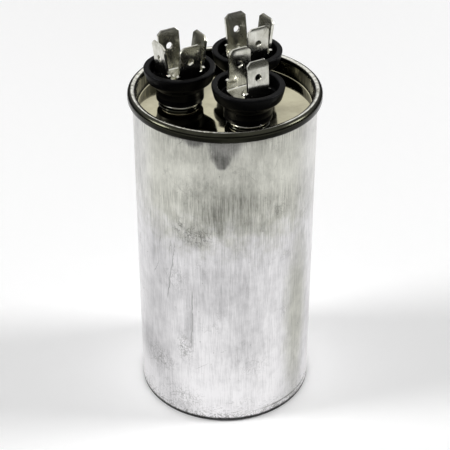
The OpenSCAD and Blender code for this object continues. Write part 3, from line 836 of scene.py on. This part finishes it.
# %% [markdown]
# A stamping gives, side by side, how far each blade leans outwards and how far
# it bows on its way up, in degrees: the back blade first, then the front one,
# then the two at the sides. A blade below nought leans inwards. The common
# terminal has four blades, the compressor's three and the fan's two, and use
# has bent them to different angles.

# %% Make the three stampings
hole_r, dimple_down, edge_round = 0.95 * mm, 9.4 * mm, 0.07 * mm
turned = 31


def fold_stamping(name, leans, bows):
    drop_selection()
    bpy.ops.mesh.primitive_plane_add(size=2 * fold_start, location=(0, 0, foot_z))
    piece = bpy.context.object
    bpy.ops.object.transform_apply(location=True)
    sheet_group = piece.vertex_groups.new(name="sheet")
    bpy.ops.object.mode_set(mode="EDIT")
    bpy.ops.mesh.select_all(action="SELECT")
    bpy.ops.mesh.bevel(offset=fold_start - shoulder_w / 2, affect="VERTICES")
    holes = []
    for side, lean, bow in zip((0, 180, 270, 90), leans, bows):
        turn_all(-side)
        holes.append((raise_blade(piece, lean, bow), side))
        turn_all(side)
    bpy.ops.object.mode_set(mode="OBJECT")
    for point in piece.data.vertices:
        if not point.groups:
            sheet_group.add([point.index], 1.0, "REPLACE")
    apply_modifier(piece, "SOLIDIFY", thickness=stock, offset=0.0, vertex_group="sheet")
    close_up(piece)
    for place, side in holes:
        cut_hole(piece, place, side, hole_r)
    if name == "compressor":
        press_dimple(piece, leans[0], dimple_down)
    apply_modifier(piece, "BEVEL", width=edge_round, segments=2, limit_method="ANGLE",
                   angle_limit=math.radians(40))
    drop_selection()
    piece.select_set(True)
    bpy.context.view_layer.objects.active = piece
    x, y = terminals[name]
    piece.rotation_euler = (0, 0, math.radians(turned))
    piece.location = (x, y, 0)
    finish_piece(piece, name + "_blade_stamping", name + "_blades", blade_finish, 30,
                 flat_faces=True)
    return piece


fold_stamping("common", (7, 7, 9, 6), (0, 0, 0, 2))
fold_stamping("compressor", (9.5, 2.5, 7.5), (0, 0, 0))
fold_stamping("fan", (-2.5, -4.5), (0, 0))

# %% [markdown]
# ## Finishes of the smaller parts
# The rivets, the rubber seals and everything inside the can keep their packed
# solids, whose shapes are already right. Each gets a finish with its own
# grain: rolled brass, soft rubber, wound film, sprayed metal.

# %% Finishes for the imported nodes
def simple_finish(name, light, dark, scale, stretch=(1, 1, 1), depth=0.004, **values):
    """Two tones mottled by one grain of the given scale, and depth millimetres of relief."""
    f = Finish(name, **values)
    grain = f.noise(f.stretch(*stretch), scale, 4, 0.6)
    colour = f.blend(f.ramp(grain, 0.3, 0.7), (*light, 1), (*dark, 1))
    rough = values["Roughness"]
    return f.feed(Base_Color=colour, Roughness=f.ramp(grain, 0.3, 0.7, rough - 0.05, rough + 0.08),
                  Normal=f.bump(grain, depth * mm))


finishes = {
    "rivet": simple_finish("tinned_rivet", (0.8, 0.79, 0.72), (0.5, 0.49, 0.42), 900,
                           Metallic=1.0, Roughness=0.18),
    "sealant": simple_finish("seal_rubber", (0.02, 0.02, 0.02), (0.012, 0.012, 0.012), 1500,
                             Roughness=0.6),
    "insulator": simple_finish("pressboard", (0.62, 0.54, 0.40), (0.48, 0.40, 0.28), 1200,
                               (1, 1, 3), Roughness=0.7),
    "tag": simple_finish("rolled_brass", (0.78, 0.62, 0.33), (0.62, 0.48, 0.24), 1400,
                         (0.2, 1, 1), Metallic=1.0, Roughness=0.25),
    "lead": simple_finish("lead_insulation", (0.52, 0.05, 0.035), (0.38, 0.03, 0.02), 900,
                          Roughness=0.35),
    "tube": simple_finish("natural_nylon", (0.82, 0.80, 0.72), (0.74, 0.71, 0.62), 300,
                          Roughness=0.3),
    "film": simple_finish("wound_film", (0.60, 0.62, 0.65), (0.36, 0.38, 0.41), 5200,
                          (1, 1, 0.02), Metallic=0.7, Roughness=0.3),
    "wrap": simple_finish("clear_wrap", (0.78, 0.70, 0.48), (0.64, 0.55, 0.34), 260,
                          (1, 1, 0.3), Roughness=0.2),
    "end_metal": simple_finish("sprayed_metal", (0.46, 0.46, 0.47), (0.30, 0.30, 0.31), 2600,
                               depth=0.04, Metallic=0.9, Roughness=0.6),
}
slots = {row["node"]: row["material_slot"] for row in frame["record"]["subparts"]}
for node, piece in frame["nodes"].items():
    if slots[node] in finishes:
        piece.data.materials.clear()
        piece.data.materials.append(finishes[slots[node]])
print("packed nodes with a finish:", sum(s in finishes for s in slots.values()))

# %% [markdown]
# ## Floor and light
# A pale sweep of floor and a white surround give polished metal something
# plain to mirror. Two soft boxes, one at each side, throw the two faint
# shadows that spread left and right of the base.

# %% Floor
floor_r, paper_glow = 3.0, 0.085


def pale_floor():
    f = Finish("pale_floor", Roughness=0.8, Specular_IOR_Level=0.1)
    fibre = f.noise(f.place, 300, 3)
    colour = f.blend(f.ramp(fibre, 0.3, 0.7), (0.97, 0.97, 0.97, 1), (0.955, 0.955, 0.955, 1))
    rays = f.make("ShaderNodeLightPath").outputs
    seen = f.sum("MAXIMUM", rays["Is Camera Ray"], rays["Is Glossy Ray"])
    seen = f.sum("MAXIMUM", seen, rays["Is Transmission Ray"])
    f.shader.inputs["Emission Color"].default_value = (1, 1, 1, 1)
    return f.feed(Base_Color=colour, Emission_Strength=f.sum("MULTIPLY", seen, paper_glow))


drop_selection()
bpy.ops.mesh.primitive_circle_add(vertices=96, radius=floor_r, fill_type="NGON",
                                  location=(0, 0, 0))
floor = bpy.context.object
floor.name = "floor"
floor.data.materials.append(pale_floor())
print("floor radius", floor_r)

# %% [markdown]
# The surround is one even white for whatever is seen straight on, and softer
# where it lights matt surfaces. Polished metal finds it too, but near the
# horizon it finds the dim room behind the paper, as it would in a real studio.

# %% Surround and lamps
world = bpy.data.worlds.new("surround")
bpy.context.scene.world = world
world.use_nodes = True
sky = world.node_tree
ground = sky.nodes["Background"]
rays = sky.nodes.new("ShaderNodeLightPath")
way = sky.nodes.new("ShaderNodeTexCoord")
rise = sky.nodes.new("ShaderNodeSeparateXYZ")
sky.links.new(way.outputs["Generated"], rise.inputs[0])


def sky_level(value, low, high, bottom, top):
    """A straight step from bottom to top; each may be a number or another node's result."""
    step = sky.nodes.new("ShaderNodeMapRange")
    for socket, number in zip(("From Min", "From Max", "To Min", "To Max"),
                              (low, high, bottom, top)):
        if isinstance(number, bpy.types.NodeSocket):
            sky.links.new(number, step.inputs[socket])
        else:
            step.inputs[socket].default_value = number
    sky.links.new(value, step.inputs["Value"])
    return step.outputs[0]


dim_below, white_above = 0.22, 0.46
dim_room, fill_light = 0.10, 0.25
room = sky_level(rise.outputs[2], dim_below, white_above, dim_room, 1.0)
lit = sky_level(rays.outputs["Is Glossy Ray"], 0, 1, fill_light, room)
lit = sky_level(rays.outputs["Is Transmission Ray"], 0, 1, lit, room)
level = sky_level(rays.outputs["Is Camera Ray"], 0, 1, lit, 1.0)
ground.inputs["Color"].default_value = (1, 1, 1, 1)
sky.links.new(level, ground.inputs["Strength"])


def soft_box(name, place, aim, size, power):
    """A round lamp of that size and power, turned towards aim."""
    lamp = bpy.data.lights.new(name, "AREA")
    lamp.shape = "DISK"
    lamp.size = size
    lamp.energy = power
    box = bpy.data.objects.new(name, lamp)
    box.location = place
    direction = aim - box.location
    box.rotation_euler = direction.to_track_quat("-Z", "Y").to_euler()
    bpy.context.scene.collection.objects.link(box)
    return box


middle = Vector((0, 0, 0.05))
box_size = 0.5
lamps = [soft_box("right_box", (1.25, 0.07, 0.74), middle, box_size, 14.0),
         soft_box("left_box", (-1.25, -0.18, 0.70), middle, box_size, 14.5)]
print("lamps", [lamp.name for lamp in lamps])

# %% [markdown]
# ## Dark surround for reflections
# In a wholly white room metal has no edges. A real set is a sheet of white
# paper on a darker table, so a dark ring lies just above the floor, from where
# such a sheet would end. Only reflections find it, and the camera and the
# shadows never do.

# %% Table beyond the paper
paper_r, table_z, outwards = 0.355, 0.5 * mm, 8
drop_selection()
bpy.ops.mesh.primitive_circle_add(vertices=96, radius=paper_r, fill_type="NOTHING",
                                  location=(0, 0, table_z))
table = bpy.context.object
table.name = "table"
bpy.ops.object.mode_set(mode="EDIT")
bpy.ops.mesh.select_all(action="SELECT")
bpy.ops.mesh.extrude_region_move(TRANSFORM_OT_translate={"value": (0, 0, 0)})
bpy.ops.transform.resize(value=(outwards, outwards, 1), center_override=(0, 0, table_z))
bpy.ops.object.mode_set(mode="OBJECT")
table_finish = Finish("dark_table", Roughness=0.9, Specular_IOR_Level=0.0)
table_finish.shader.inputs["Base Color"].default_value = (0.07, 0.07, 0.062, 1)
table.data.materials.append(table_finish.material)
table.visible_camera = False
table.visible_diffuse = False
table.visible_shadow = False
print("table ring", len(table.data.polygons), "faces")
bpy.context.scene.view_settings.view_transform = "Standard"
